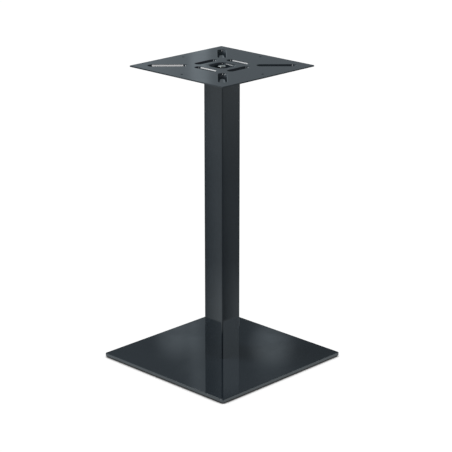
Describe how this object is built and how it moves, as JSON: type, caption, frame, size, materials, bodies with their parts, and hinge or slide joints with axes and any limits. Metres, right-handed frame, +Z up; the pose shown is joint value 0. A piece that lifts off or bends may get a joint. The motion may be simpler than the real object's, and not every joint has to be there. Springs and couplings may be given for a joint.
{
  "type": "square metal table leg",
  "caption": "Pedestal table leg with a flat square base plate, a square column and a pressed square top plate, clamped together by a tie rod.",
  "frame": {"origin": "middle of the footprint, on the floor", "axes": "+Z up along the column; X and Y along the sides of both plates"},
  "size_m": [0.4, 0.4, 0.72],
  "materials": {
    "black_paint": "gloss",
    "zinc_plate": "satin",
    "bare_steel": "machined",
    "black_oxide": "satin",
    "nylon": "matt"
  },
  "bodies": {
    "root": {"base_plate": "black_paint", "column": "black_paint", "top_plate": "black_paint", "foot_block": "bare_steel", "foot_block_screw_1": "black_oxide", "foot_block_screw_2": "black_oxide", "foot_block_screw_3": "black_oxide", "foot_block_screw_4": "black_oxide", "floor_glide_1": "nylon", "floor_glide_2": "nylon", "floor_glide_3": "nylon", "floor_glide_4": "nylon", "tie_rod": "zinc_plate", "tie_rod_washer": "zinc_plate", "tie_rod_spring_washer": "zinc_plate", "tie_rod_nut": "zinc_plate"}
  },
  "joints": []
}
